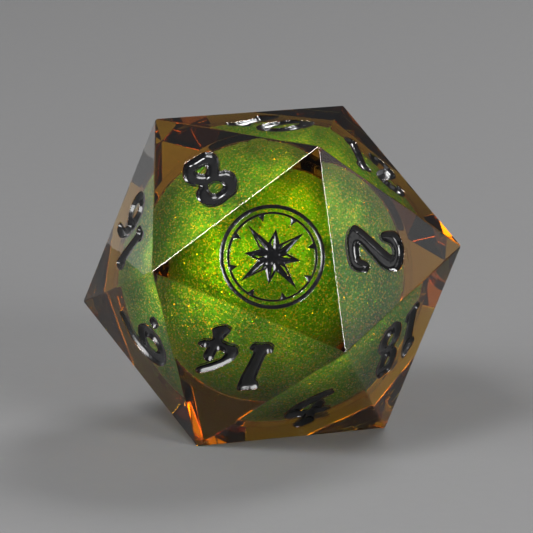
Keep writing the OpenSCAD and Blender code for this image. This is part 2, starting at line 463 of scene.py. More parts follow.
@dataclass(frozen=True)
class BlackEnamel:
    """Glossy black ink, brushed into a recess and dried with a slightly uneven skin."""

    slot: Slot = Slot.INK
    deep: Colour = (0.002, 0.002, 0.002, 1.0)
    thin: Colour = (0.007, 0.007, 0.008, 1.0)
    brush_waves: float = 1500.0
    brush_depth: float = 0.03 * MM
    pit_waves: float = 5200.0
    pit_depth: float = 0.012 * MM
    roughness: tuple[float, float] = (0.06, 0.2)

    def material(self) -> bpy.types.Material:
        """Builds the material, with brush unevenness and a few fine pits.

        Returns:
            The material.
        """
        shader = Shader(self.slot.value)
        uneven = shader.noise(self.brush_waves, detail=3.0)
        pits = shader.between(shader.noise(self.pit_waves, detail=1.0), low=0.62, high=0.75)
        skin = shader.bump(uneven, self.brush_depth, strength=0.55)
        pitted = shader.bump(pits, self.pit_depth, strength=0.5, under=skin)
        inputs = {
            "Base Color": shader.mixed(uneven, self.deep, self.thin),
            "Roughness": shader.between(uneven, *NOISE_SPAN, *self.roughness),
            "Normal": pitted,
        }
        return shader.finish(inputs)


@dataclass(frozen=True)
class StudioPaper:
    """Pale paper under the die, with painted shade close to the die and painted light far off, where the
    lamps reach less.
    """

    # painted shade close to the die, painted light far off
    near_painted_shade: Colour = (0.102, 0.102, 0.103, 1.0)
    far: Colour = (0.160, 0.160, 0.161, 1.0)
    painted_shade_end: float = 0.04
    painted_light_start: float = 0.4
    fibre_waves: float = 900.0
    fibre_shade: float = 0.06
    fibre_depth: float = 0.02 * MM
    roughness: float = 0.75

    def material(self) -> bpy.types.Material:
        """Builds the material, with a faint fibre, and painted shade close to the die that pales into painted
        light with distance.

        Returns:
            The material.
        """
        shader = Shader("studio_paper")
        fibre = shader.noise(self.fibre_waves, detail=4.0)
        away = shader.vector_maths("LENGTH", shader.place)
        # painted shade and light: the paper's colour darkens close to the die and pales with distance from it
        paper = shader.mixed(shader.between(away, self.painted_shade_end, self.painted_light_start), self.near_painted_shade, self.far)
        inputs = {
            "Base Color": shader.mixed(fibre * self.fibre_shade, paper, BLACK),
            "Roughness": self.roughness,
            "Normal": shader.bump(fibre, self.fibre_depth, strength=0.3),
        }
        return shader.finish(inputs)


# ---- Sizes, taken from the frame ----


@dataclass(frozen=True)
class DieSizes:
    """The driving sizes of the die, in metres, and what follows from them."""

    face_to_face: float
    capsule_radius: float
    fill_radius: float
    wall: float = 0.7 * MM
    lap_height: float = 0.6 * MM
    port_radius: float = 0.8 * MM
    recess_depth: float = 0.5 * MM

    @classmethod
    def from_frame(cls) -> "DieSizes":
        """Reads the sizes from the CAD model's boxes.

        Returns:
            The sizes.
        """
        low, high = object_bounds()
        shell_low, shell_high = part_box("capsule_lower")
        fill_low, fill_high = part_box("shimmer_liquid")
        return cls(high.z - low.z, (shell_high.x - shell_low.x) / 2, (fill_high.z - fill_low.z) / 2)

    @property
    def edge(self) -> float:
        """Length of an edge."""
        return self.face_to_face * math.sqrt(3) / GOLDEN**2

    @property
    def cap_ring(self) -> float:
        """Radius of the three corners of the top or bottom face."""
        return self.edge / math.sqrt(3)

    @property
    def mid_ring(self) -> float:
        """Radius of the middle ring's corners."""
        return GOLDEN * self.cap_ring

    @property
    def mid_level(self) -> float:
        """Height of the middle ring's corners above or below the centre."""
        return self.edge / (2 * math.sqrt(3) * GOLDEN)

    @property
    def centre(self) -> Vector:
        """The die's centre."""
        return Vector((0, 0, self.face_to_face / 2))

    def rings(self) -> tuple[tuple[float, float, float], ...]:
        """Radius, first corner's angle in degrees and height of each ring of three corners."""
        half = self.face_to_face / 2
        return (
            (self.cap_ring, 180.0, half),
            (self.mid_ring, 240.0, self.mid_level),
            (self.mid_ring, 60.0, -self.mid_level),
            (self.cap_ring, 240.0, -half),
        )

    def corners(self) -> list[Vector]:
        """The twelve corners: three at the top, two middle rings of three, and three at the bottom.

        Returns:
            The corners, ring by ring.
        """
        found = []
        for radius, first, level in self.rings():
            for step in range(3):
                angle = math.radians(first + 120 * step)
                around = Vector((radius * math.cos(angle), radius * math.sin(angle), level))
                found.append(self.centre + around)
        return found


# Each face: its number, the corner that the number's top points to, and the other two corners.
FACES: tuple[tuple[int, int, int, int], ...] = (
    (20, 8, 1, 3), (8, 0, 1, 3), (2, 4, 1, 8), (14, 9, 3, 8), (10, 2, 0, 1),
    (12, 2, 1, 4), (16, 7, 0, 3), (6, 7, 3, 9), (4, 8, 9, 10), (18, 10, 8, 4),
    (1, 5, 11, 6), (13, 10, 11, 6), (19, 7, 11, 5), (7, 2, 6, 5), (11, 9, 10, 11),
    (9, 9, 11, 7), (5, 4, 10, 6), (15, 4, 6, 2), (17, 5, 2, 0), (3, 0, 5, 7),
)


@dataclass(frozen=True)
class FaceSpot:
    """A face as a place to draw: its middle, and its right, up and outward directions."""

    number: int
    middle: Vector
    right: Vector
    up: Vector
    out: Vector

    @classmethod
    def all_of(cls, sizes: DieSizes) -> list["FaceSpot"]:
        """Every face of the die.

        Args:
            sizes: The die's sizes.

        Returns:
            The twenty faces.
        """
        corners = sizes.corners()
        spots = []
        for number, top, second, third in FACES:
            middle = (corners[top] + corners[second] + corners[third]) / 3
            out = (middle - sizes.centre).normalized()
            up = (corners[top] - middle).normalized()
            spots.append(cls(number, middle, up.cross(out), up, out))
        return spots

    @property
    def has_emblem(self) -> bool:
        """Whether the face holds the emblem and no number."""
        return self.number == EMBLEM_FACE

    def raised(self, points: np.ndarray, heights: Union[float, np.ndarray]) -> np.ndarray:
        """Flat points put on the face.

        Args:
            points: The points, in the face's right and up directions.
            heights: One height above the face, or one for each point.

        Returns:
            The points in space.
        """
        levels = np.broadcast_to(np.asarray(heights, float), (len(points),))
        return (
            np.array(self.middle)
            + points[:, :1] * np.array(self.right)
            + points[:, 1:] * np.array(self.up)
            + levels[:, None] * np.array(self.out)
        )


# ---- Numbers ----

# The digits, one unit high on the base line: the knots of each outline, then those of its counters.
ZERO: tuple[Knots, ...] = (
    ((0.1, 1), (0.25, 0.9), (0.31, 0.68), (0.28, 0.36), (0.16, 0.1), (-0.06, 0),
     (-0.22, 0.08), (-0.3, 0.3), (-0.27, 0.64), (-0.14, 0.9)),
    ((0.05, 0.82), (0.12, 0.66), (0.1, 0.38), (-0.02, 0.18), (-0.11, 0.34), (-0.08, 0.64)),
)
ONE: tuple[Knots, ...] = (
    ((-0.15, 0.84), (-0.02, 0.94), (0.12, 1), (0.14, 0.76), (0.11, 0.48), (0.1, 0.25),
     (0.17, 0.22), (0.15, 0.11), (0.04, 0.06), (-0.07, 0), (-0.16, 0.03), (-0.16, 0.13),
     (-0.1, 0.18), (-0.08, 0.42), (-0.08, 0.69), (-0.13, 0.72)),
)
TWO: tuple[Knots, ...] = (
    ((-0.2, 0.64), (-0.22, 0.84), (-0.15, 0.95), (0, 1), (0.16, 0.97), (0.28, 0.88),
     (0.31, 0.74), (0.26, 0.6), (0.12, 0.44), (-0.06, 0.23), (0.12, 0.2), (0.17, 0.3),
     (0.24, 0.35), (0.31, 0.28), (0.3, 0.14), (0.22, 0.03), (0.08, 0), (-0.12, 0.01),
     (-0.24, 0.07), (-0.31, 0.17), (-0.25, 0.3), (-0.1, 0.5), (0.06, 0.7), (0.1, 0.8),
     (0.03, 0.83), (-0.05, 0.78), (-0.1, 0.65)),
)
THREE: tuple[Knots, ...] = (
    ((-0.26, 0.83), (-0.18, 0.95), (-0.03, 1), (0.14, 0.97), (0.26, 0.86), (0.25, 0.7),
     (0.15, 0.58), (0.26, 0.48), (0.3, 0.32), (0.25, 0.14), (0.12, 0.03), (-0.06, 0),
     (-0.21, 0.04), (-0.29, 0.15), (-0.24, 0.26), (-0.14, 0.23), (-0.02, 0.17), (0.09, 0.22),
     (0.12, 0.33), (0.05, 0.43), (-0.08, 0.48), (-0.07, 0.56), (0.04, 0.63), (0.08, 0.73),
     (0.03, 0.82), (-0.07, 0.83), (-0.15, 0.74)),
)
FOUR: tuple[Knots, ...] = (
    ((0.15, 1), (0.19, 0.92), (0.04, 0.75), (-0.08, 0.62), (-0.12, 0.48), (-0.01, 0.47),
     (0.02, 0.66), (0.1, 0.73), (0.17, 0.66), (0.16, 0.5), (0.23, 0.53), (0.31, 0.49),
     (0.25, 0.4), (0.15, 0.35), (0.14, 0.26), (0.18, 0.15), (0.13, 0.07), (0.03, 0),
     (-0.08, 0.03), (-0.06, 0.14), (-0.02, 0.28), (-0.14, 0.3), (-0.25, 0.28), (-0.31, 0.38),
     (-0.26, 0.55), (-0.14, 0.73), (0, 0.89)),
)
FIVE: tuple[Knots, ...] = (
    ((-0.2, 0.98), (0, 0.95), (0.18, 1), (0.27, 0.95), (0.22, 0.83), (0.05, 0.79),
     (-0.06, 0.78), (-0.06, 0.65), (0.08, 0.64), (0.23, 0.54), (0.29, 0.36), (0.25, 0.16),
     (0.12, 0.03), (-0.06, 0), (-0.21, 0.04), (-0.29, 0.15), (-0.24, 0.26), (-0.14, 0.23),
     (-0.03, 0.17), (0.08, 0.22), (0.12, 0.34), (0.07, 0.45), (-0.05, 0.49), (-0.17, 0.46),
     (-0.23, 0.52), (-0.22, 0.7), (-0.25, 0.88)),
)
SIX: tuple[Knots, ...] = (
    ((0.2, 1), (0.28, 0.93), (0.18, 0.84), (0.02, 0.74), (-0.05, 0.6), (0.06, 0.6),
     (0.2, 0.54), (0.29, 0.41), (0.3, 0.25), (0.22, 0.08), (0.06, 0), (-0.1, 0.01),
     (-0.24, 0.11), (-0.3, 0.3), (-0.28, 0.52), (-0.19, 0.73), (-0.03, 0.9)),
    ((-0.09, 0.32), (-0.04, 0.43), (0.05, 0.44), (0.11, 0.34), (0.1, 0.22), (0.02, 0.14),
     (-0.06, 0.2)),
)
SEVEN: tuple[Knots, ...] = (
    ((-0.26, 0.98), (-0.08, 0.94), (0.12, 0.96), (0.24, 1), (0.3, 0.92), (0.22, 0.75),
     (0.11, 0.52), (0.05, 0.28), (0.05, 0.09), (-0.02, 0), (-0.12, 0.02), (-0.16, 0.14),
     (-0.12, 0.34), (-0.02, 0.56), (0.07, 0.76), (-0.06, 0.78), (-0.17, 0.76), (-0.21, 0.68),
     (-0.29, 0.71), (-0.3, 0.86)),
)
EIGHT: tuple[Knots, ...] = (
    ((-0.1, 1), (0.03, 0.98), (0.18, 0.95), (0.26, 0.85), (0.27, 0.71), (0.21, 0.58),
     (0.17, 0.49), (0.25, 0.41), (0.29, 0.27), (0.25, 0.12), (0.15, 0.01), (0, 0),
     (-0.13, 0.01), (-0.24, 0.1), (-0.29, 0.27), (-0.25, 0.41), (-0.15, 0.5), (-0.22, 0.61),
     (-0.25, 0.74), (-0.2, 0.88)),
    ((-0.07, 0.77), (0.01, 0.8), (0.09, 0.76), (0.07, 0.68), (0.01, 0.61), (-0.05, 0.68)),
    ((-0.08, 0.38), (0.01, 0.41), (0.08, 0.31), (0.07, 0.21), (-0.02, 0.17), (-0.09, 0.22)),
)
NINE: tuple[Knots, ...] = tuple(tuple((-x, 1 - y) for x, y in loop) for loop in SIX)
DIGITS = (ZERO, ONE, TWO, THREE, FOUR, FIVE, SIX, SEVEN, EIGHT, NINE)
DIGIT_WIDTH = (0.62, 0.34, 0.62, 0.6, 0.62, 0.58, 0.6, 0.6, 0.58, 0.6)
DOT: Knots = ((0.42, 0.17), (0.52, 0.07), (0.43, -0.02), (0.34, 0.08))


def smooth_loop(knots: Sequence[Sequence[float]], steps: int) -> np.ndarray:
    """A smooth closed curve through knots.

    Args:
        knots: The points that it passes through.
        steps: Points on each stretch between two knots.

    Returns:
        The curve's points.
    """
    here = np.asarray(knots, float)
    before, after, beyond = (np.roll(here, shift, axis=0) for shift in (1, -1, -2))
    stretches = []
    for step in range(steps):
        t = step / steps
        stretches.append(
            0.5
            * (
                2 * here
                + (after - before) * t
                + (2 * before - 5 * here + 4 * after - beyond) * t**2
                + (3 * here - before - 3 * after + beyond) * t**3
            )
        )
    return np.stack(stretches, axis=1).reshape(-1, 2)


def circle_loop(radius: float, points: int) -> np.ndarray:
    """Points round a circle about the origin."""
    angles = np.arange(points) * (2 * math.pi / points)
    return np.stack([radius * np.cos(angles), radius * np.sin(angles)], axis=1)


def ring_sides(count: int, first: int = 0) -> list[tuple[int, int]]:
    """The pairs of neighbours round a ring of corners, from the number of its first."""
    return [(first + step, first + (step + 1) % count) for step in range(count)]


def is_inside(points: np.ndarray, loops: Iterable[np.ndarray]) -> np.ndarray:
    """Which points are inside an odd number of loops.

    Args:
        points: The points to test.
        loops: Closed loops of points.

    Returns:
        A truth value for each point.
    """
    odd = np.zeros(len(points), bool)
    x, y = points[:, :1], points[:, 1:]
    for loop in loops:
        x0, y0 = loop[:, 0][None], loop[:, 1][None]
        x1, y1 = np.roll(loop, -1, 0)[:, 0][None], np.roll(loop, -1, 0)[:, 1][None]
        crosses = (y0 > y) != (y1 > y)
        rise = np.where(y1 == y0, 1.0, y1 - y0)
        left = x < (x1 - x0) * (y - y0) / rise + x0
        odd ^= (np.count_nonzero(crosses & left, axis=1) % 2).astype(bool)
    return odd


def distance_to(points: np.ndarray, loops: Iterable[np.ndarray]) -> np.ndarray:
    """Each point's distance to the nearest loop.

    Args:
        points: The points.
        loops: Closed loops of points.

    Returns:
        The distances.
    """
    nearest = np.full(len(points), np.inf)
    for loop in loops:
        start = loop[None]
        run = np.roll(loop, -1, 0)[None] - start
        along = ((points[:, None] - start) * run).sum(2) / np.maximum((run**2).sum(2), SAME_POINT**2)
        foot = start + run * along.clip(0, 1)[..., None]
        nearest = np.minimum(nearest, np.linalg.norm(points[:, None] - foot, axis=2).min(1))
    return nearest


@dataclass(frozen=True)
class Outline:
    """A flat shape: closed loops whose inside is filled, with loops inside those left open."""

    loops: tuple[np.ndarray, ...]

    @classmethod
    def of(cls, loops: Iterable[np.ndarray]) -> "Outline":
        """An outline with its filled loops turned one way and its open ones the other.

        Args:
            loops: The loops, in any order and direction.

        Returns:
            The outline.
        """
        found = [np.asarray(loop, float) for loop in loops]
        turned = []
        for index, loop in enumerate(found):
            others = [other for place, other in enumerate(found) if place != index]
            is_open = bool(is_inside(loop[:1], others)[0])
            following = np.roll(loop, -1, 0)
            area = (loop[:, 0] * following[:, 1] - following[:, 0] * loop[:, 1]).sum()
            turned.append(loop if (area > 0) != is_open else loop[::-1])
        return cls(tuple(turned))

    def grown(self, distance: float) -> "Outline":
        """The outline moved outwards from its filled side.

        Args:
            distance: How far, or less than zero to shrink.

        Returns:
            An outline with as many points.
        """
        moved = []
        for loop in self.loops:
            along = np.roll(loop, -1, 0) - loop
            along /= np.linalg.norm(along, axis=1, keepdims=True)
            normal = np.stack([along[:, 1], -along[:, 0]], axis=1)
            mean = normal + np.roll(normal, 1, 0)
            mean /= np.maximum((mean * normal).sum(1, keepdims=True), 0.5)
            moved.append(loop + mean * distance)
        return Outline(tuple(moved))

    def points(self) -> np.ndarray:
        """All the loops' points, one loop after another."""
        return np.concatenate(self.loops)

    def sides(self) -> list[tuple[int, int]]:
        """The pairs of neighbouring points.

        Returns:
            The pairs, numbered as in points().
        """
        pairs: list[tuple[int, int]] = []
        for loop in self.loops:
            pairs += ring_sides(len(loop), len(pairs))
        return pairs

    def filled(self, spacing: Optional[float] = None) -> tuple[np.ndarray, list[tuple[int, int, int]]]:
        """Triangles that fill the outline.

        Args:
            spacing: The distance between points added inside, or None to add none.

        Returns:
            The points, with points() first, and the triangles.
        """
        points = self.points()
        if spacing:
            points = np.concatenate([points, self._inner_points(spacing)])
        vectors = [Vector(point) for point in points]
        made = delaunay_2d_cdt(vectors, self.sides(), [], HULL_TRIANGLES, SAME_POINT)
        origins = made[3]
        triangles = [tuple(origins[corner][0] for corner in face) for face in made[2]]
        middles = points[np.array(triangles)].mean(1)
        keep = is_inside(middles, self.loops)
        kept = []
        for triangle, wanted in zip(triangles, keep):
            if wanted:
                a, b, c = (points[corner] for corner in triangle)
                turn = (b[0] - a[0]) * (c[1] - a[1]) - (b[1] - a[1]) * (c[0] - a[0])
                kept.append(triangle if turn > 0 else triangle[::-1])
        return points, kept

    def _inner_points(self, spacing: float) -> np.ndarray:
        """A row of points along the edge, and an even triangular grid inside it.

        Args:
            spacing: The distance between the grid's points.

        Returns:
            The points that are well inside the outline.
        """
        inset, row_clear, grid_clear = (share * spacing for share in (0.45, 0.4, 0.8))
        low, high = self.points().min(0), self.points().max(0)
        row = spacing * math.sqrt(3) / 2
        found = []
        for step, y in enumerate(np.arange(low[1], high[1], row)):
            xs = np.arange(low[0] + spacing * (step % 2) / 2, high[0], spacing)
            found.append(np.stack([xs, np.full(len(xs), y)], axis=1))
        grid = np.concatenate(found)
        near_edge = self.grown(-inset).points()
        grid = grid[distance_to(grid, self.loops) > grid_clear]
        near_edge = near_edge[distance_to(near_edge, self.loops) > row_clear]
        inner = np.concatenate([near_edge[::2], grid])
        return inner[is_inside(inner, self.loops)]


@dataclass(frozen=True)
class Lettering:
    """Draws what each face holds."""

    edge: float
    single_height: float = 0.37
    double_height: float = 0.32
    digit_gap: float = 0.13
    curve_steps: int = 6

    def marking(self, number: int) -> Outline:
        """The outline of a face's number, or of the emblem.

        Args:
            number: The face's number.

        Returns:
            The outline, centred on the face.
        """
        return Emblem(self.edge).outline() if number == EMBLEM_FACE else self._number(number)

    def _number(self, number: int) -> Outline:
        """Draws a number.

        Args:
            number: The number, of one digit or two.

        Returns:
            Its outline.
        """
        tens, units = divmod(number, 10)
        size = self.edge * (self.double_height if tens else self.single_height)
        line = DIGIT_WIDTH[tens] + self.digit_gap + DIGIT_WIDTH[units] if tens else 0.0
        loops = []
        if tens:
            loops += self._digit(tens, (DIGIT_WIDTH[tens] - line) / 2)
        loops += self._digit(units, (line - DIGIT_WIDTH[units]) / 2 if tens else 0.0)
        if number in DOTTED:
            loops.append(smooth_loop(DOT, self.curve_steps) - (0, 0.5))
        return Outline.of(loop * size for loop in loops)

    def _digit(self, digit: int, shift: float) -> list[np.ndarray]:
        """A digit's loops, one unit high about the middle."""
        return [smooth_loop(loop, self.curve_steps) + (shift, -0.5) for loop in DIGITS[digit]]


@dataclass(frozen=True)
class Emblem:
    """The mark in the highest number's place: a compass star with open half-rays, inside two rims."""

    edge: float
    radius_share: float = 0.25
    rays: int = 8
    long_ray: float = 0.76
    short_ray: float = 0.54
    ray_base: float = 0.28
    open_share: float = 0.42
    rim_width: float = 0.07
    inner_rim: float = 0.86
    inner_rim_width: float = 0.04
    tick_base: float = 0.06
    tick_length: float = 0.13
    round_steps: int = 96

    def outline(self) -> Outline:
        """Draws the emblem.

        Returns:
            Its outline.
        """
        tips = [self._at(self.long_ray if ray % 2 == 0 else self.short_ray, ray) for ray in range(self.rays)]
        roots = [self._at(self.ray_base, ray + 0.5) for ray in range(self.rays)]
        star = [point for pair in zip(tips, roots) for point in pair]
        loops = [np.array(star)]
        loops += [self._shrunk([(0.0, 0.0), tip, root]) for tip, root in zip(tips, roots)]
        loops += [circle_loop(1.0, self.round_steps), circle_loop(1 - self.rim_width, self.round_steps)]
        loops += [circle_loop(self.inner_rim, self.round_steps), self._ticked_rim()]
        return Outline.of(loop * self.edge * self.radius_share for loop in loops)

    def _at(self, radius: float, ray: float) -> tuple[float, float]:
        """The point at a radius along a ray, counted from the top."""
        angle = math.pi / 2 + ray * 2 * math.pi / self.rays
        return radius * math.cos(angle), radius * math.sin(angle)

    def _shrunk(self, triangle: Sequence[tuple[float, float]]) -> np.ndarray:
        """A triangle shrunk about its middle to the open part of a ray."""
        corners = np.array(triangle)
        return corners.mean(0) + (corners - corners.mean(0)) * self.open_share

    def _ticked_rim(self) -> np.ndarray:
        """The inner edge of the inner rim, with a tick between each two rays.

        Returns:
            The edge's points.
        """
        radius = self.inner_rim - self.inner_rim_width
        half_tick = self.tick_base / radius / (2 * math.pi) * self.rays
        steps = self.round_steps // self.rays
        points = []
        for ray in range(self.rays):
            points.append(self._at(radius - self.tick_length, ray + 0.5))
            places = np.linspace(ray + 0.5 + half_tick, ray + 1.5 - half_tick, steps)
            points += [self._at(radius, place) for place in places]
        return np.array(points)


# ---- Meshes ----


class Draft:
    """Collects the corners and faces of one piece before it becomes an object."""

    def __init__(self) -> None:
        """Starts empty."""
        self.corners: list[Sequence[float]] = []
        self.faces: list[tuple[int, ...]] = []

    def add_corners(self, points: Iterable[Sequence[float]]) -> int:
        """Adds corners.

        Args:
            points: Their places.

        Returns:
            The number of the first one.
        """
        first = len(self.corners)
        self.corners += [tuple(float(value) for value in point) for point in points]
        return first

    def add_walls(self, sides: Iterable[tuple[int, int]], lower: int, upper: int) -> None:
        """Joins two rings of corners.

        Args:
            sides: The pairs of neighbours, counted from a ring's first corner.
            lower: The lower ring's first corner.
            upper: The upper ring's first corner.
        """
        for a, b in sides:
            self.faces.append((lower + a, lower + b, upper + b, upper + a))

    def add_cap(self, triangles: Iterable[Sequence[int]], first: int, faces_up: bool) -> None:
        """Closes a ring with triangles.

        Args:
            triangles: Their corners, counted from the ring's first.
            first: The ring's first corner.
            faces_up: Whether the triangles keep their direction, or are turned over.
        """
        for triangle in triangles:
            corners = tuple(first + corner for corner in triangle)
            self.faces.append(corners if faces_up else corners[::-1])

    def mesh(self, name: str, weld: float = SAME_POINT, sliver: Optional[float] = None) -> bpy.types.Mesh:
        """Makes the mesh, with its doubles merged and its normals outwards.

        Args:
            name: The mesh's name.
            weld: The distance within which corners are merged.
            sliver: The length under which edges are dissolved, or None to keep them all.

        Returns:
            The mesh.
        """
        made = bpy.data.meshes.new(name)
        made.from_pydata(self.corners, [], self.faces)
        made.validate()
        work = bmesh.new()
        work.from_mesh(made)
        bmesh.ops.remove_doubles(work, verts=work.verts, dist=weld)
        if sliver:
            bmesh.ops.dissolve_degenerate(work, edges=work.edges, dist=sliver)
        bmesh.ops.recalc_face_normals(work, faces=work.faces)
        work.to_mesh(made)
        work.free()
        return made


def add_object(mesh: bpy.types.Mesh, name: str) -> bpy.types.Object:
    """Links an object into the scene.

    Args:
        mesh: The mesh that it shows.
        name: Its name.

    Returns:
        The object.
    """
    made = bpy.data.objects.new(name, mesh)
    bpy.context.scene.collection.objects.link(made)
    return made


def shade(mesh: bpy.types.Mesh, sharp_degrees: float) -> None:
    """Smooth shading, but for edges sharper than an angle."""
    mesh.shade_smooth()
    mesh.set_sharp_from_angle(angle=math.radians(sharp_degrees))


def settled(thing: bpy.types.Object) -> bpy.types.Object:
    """Turns an object's evaluated shape into its plain mesh and removes its modifiers.

    Args:
        thing: The object.

    Returns:
        The same object.
    """
    depsgraph = bpy.context.evaluated_depsgraph_get()
    made = bpy.data.meshes.new_from_object(
        thing.evaluated_get(depsgraph), preserve_all_data_layers=True, depsgraph=depsgraph
    )
    thing.modifiers.clear()
    old = thing.data
    thing.data = made
    made.name = thing.name
    if old.users == 0:
        bpy.data.meshes.remove(old)
    return thing


def hand_over(
    piece: bpy.types.Object, body: Body, nodes: Sequence[str], material: bpy.types.Material
) -> None:
    """Dresses a finished piece and ties it to the frame.

    Args:
        piece: The piece.
        body: The body that it rides on.
        nodes: The CAD nodes that it stands for.
        material: The finish's material.
    """
    piece.data.materials.clear()
    piece.data.materials.append(material)
    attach(piece, body.value)
    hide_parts(*nodes)
    LOG.info("%s: %d faces on %s, for %s", piece.name, len(piece.data.polygons), body.value, ", ".join(nodes))


class GeometryTree(Graph):
    """A Geometry Nodes tree with named inputs, and a way to run it into a plain mesh."""

    def __init__(self, name: str) -> None:
        """Makes the tree.

        Args:
            name: The tree's name.
        """
        super().__init__(bpy.data.node_groups.new(name, "GeometryNodeTree"))
        self.identifiers: dict[str, str] = {}
        self.values: dict[str, Any] = {}
        self.tree.interface.new_socket(name="Geometry", in_out="OUTPUT", socket_type="NodeSocketGeometry")
        self.entry = self.tree.nodes.new("NodeGroupInput")

    def named_input(self, name: str, value: Any, kind: str = "NodeSocketFloat") -> Wire:
        """Adds a named input.

        Args:
            name: The input's name.
            value: What it is set to when the tree is run.
            kind: The socket's type.

        Returns:
            The input's value.
        """
        socket = self.tree.interface.new_socket(name=name, in_out="INPUT", socket_type=kind)
        self.identifiers[name] = socket.identifier
        self.values[name] = value
        return Wire(self, self.entry.outputs[name])

    def run(self, geometry: Wire, material: Wire, name: str) -> bpy.types.Object:
        """Ends the tree and turns its result into an object with a plain mesh.

        Args:
            geometry: The geometry to give out.
            material: The material input.
            name: The object's name.

        Returns:
            The object.
        """
        real = self.node("GeometryNodeRealizeInstances", None, {0: geometry})
        dressed = self.node("GeometryNodeSetMaterial", None, {"Geometry": real, "Material": material})
        self.node("NodeGroupOutput", None, {0: dressed})
        made = add_object(bpy.data.meshes.new(name), name)
        modifier = made.modifiers.new(name, "NODES")
        modifier.node_group = self.tree
        for label, value in self.values.items():
            modifier[self.identifiers[label]] = value
        return settled(made)


# ---- Sub-assemblies ----

# The round of a recess's lip, from its wall to the face: shares of the lip outwards and downwards.
LIP_ROUND = ((0.0, 1.0), (0.13, 0.5), (0.5, 0.13), (1.0, 0.0))


@dataclass
class ResinCasting:
    """The cast body of the die, with a recess in every face."""

    sizes: DieSizes
    spots: list[FaceSpot]
    lettering: Lettering
    finish: AmberResin = field(default_factory=AmberResin)
    edge_round: float = 0.075 * MM
    edge_segments: int = 3
    lip: float = 0.06 * MM
    emblem_lip: float = 0.045 * MM
    cut_above: float = 0.3 * MM
    weld: float = 1e-4 * MM
    sharp_from: float = 40.0
    flat_weight: int = 100

    def build(self) -> bpy.types.Object:
        """Builds, dresses and hands over the casting.

        Returns:
            The casting.
        """
        material = self.finish.material()
        blank = self._blank(material)
        self._round_edges(blank)
        cutters = add_object(self._cutters(), "recess_cutters")
        cut = blank.modifiers.new("recesses", "BOOLEAN")
        cut.operation = "DIFFERENCE"
        cut.solver = "MANIFOLD"
        cut.object = cutters
        settled(blank)
        bpy.data.objects.remove(cutters)
        shade(blank.data, self.sharp_from)
        flatten = blank.modifiers.new("flat_faces", "WEIGHTED_NORMAL")
        flatten.weight = self.flat_weight
        flatten.keep_sharp = True
        settled(blank)
        hand_over(blank, Body.DIE, ("resin_lower_pour", "resin_upper_pour"), material)
        return blank

    def _blank(self, material: bpy.types.Material) -> bpy.types.Object:
        """The twenty-sided blank: the hull of four level rings of three corners.

        Args:
            material: The resin.

        Returns:
            The blank.
        """
        tree = GeometryTree("twenty_sided_blank")
        centre = tree.named_input("Centre height", self.sizes.centre.z)
        skin = tree.named_input("Material", material, "NodeSocketMaterial")
        parts = tree.tree.nodes.new("GeometryNodeJoinGeometry")
        for index, (radius, first, level) in enumerate(self.sizes.rings()):
            size = tree.named_input(f"Ring {index + 1} radius", radius)
            rise = tree.named_input(f"Ring {index + 1} level", level)
            ring = tree.node("GeometryNodeMeshCircle", None, {"Vertices": 3, "Radius": size})
            place = tree.node("ShaderNodeCombineXYZ", None, {2: centre + rise})
            inputs = {"Geometry": ring, "Translation": place, "Rotation": (0, 0, math.radians(first))}
            moved = tree.node("GeometryNodeTransform", None, inputs)
            tree.tree.links.new(moved.socket, parts.inputs[0])
        hull = tree.node("GeometryNodeConvexHull", None, {0: Wire(tree, parts.outputs[0])})
        return tree.run(hull, skin, "resin_casting")

    def _round_edges(self, blank: bpy.types.Object) -> None:
        """Breaks every sharp edge with a hair-fine round.

        Args:
            blank: The blank.
        """
        work = bmesh.new()
        work.from_mesh(blank.data)
        bmesh.ops.remove_doubles(work, verts=work.verts, dist=self.weld)
        bmesh.ops.recalc_face_normals(work, faces=work.faces)
        bmesh.ops.bevel(
            work,
            geom=work.edges[:],
            offset=self.edge_round,
            offset_type="OFFSET",
            segments=self.edge_segments,
            profile=0.5,
            affect="EDGES",
            clamp_overlap=True,
        )
        work.to_mesh(blank.data)
        work.free()

    def _cutters(self) -> bpy.types.Mesh:
        """Every face's marking as a block that flares in a small round where it leaves the face.

        Returns:
            One mesh of all the blocks.
        """
        draft = Draft()
        for spot in self.spots:
            lip = self.emblem_lip if spot.has_emblem else self.lip
            levels = [(0.0, -self.sizes.recess_depth)]
            levels += [(lip * outwards, -lip * down) for outwards, down in LIP_ROUND]
            levels += [(lip, self.cut_above)]
            outline = self.lettering.marking(spot.number)
            sides = outline.sides()
            _, triangles = outline.filled()
            rings = []
            for growth, height in levels:
                grown = outline.grown(growth).points()
                rings.append(draft.add_corners(spot.raised(grown, height)))
            draft.add_cap(triangles, rings[0], False)
            for lower, upper in zip(rings, rings[1:]):
                draft.add_walls(sides, lower, upper)
            draft.add_cap(triangles, rings[-1], True)
        return draft.mesh("recess_cutters")


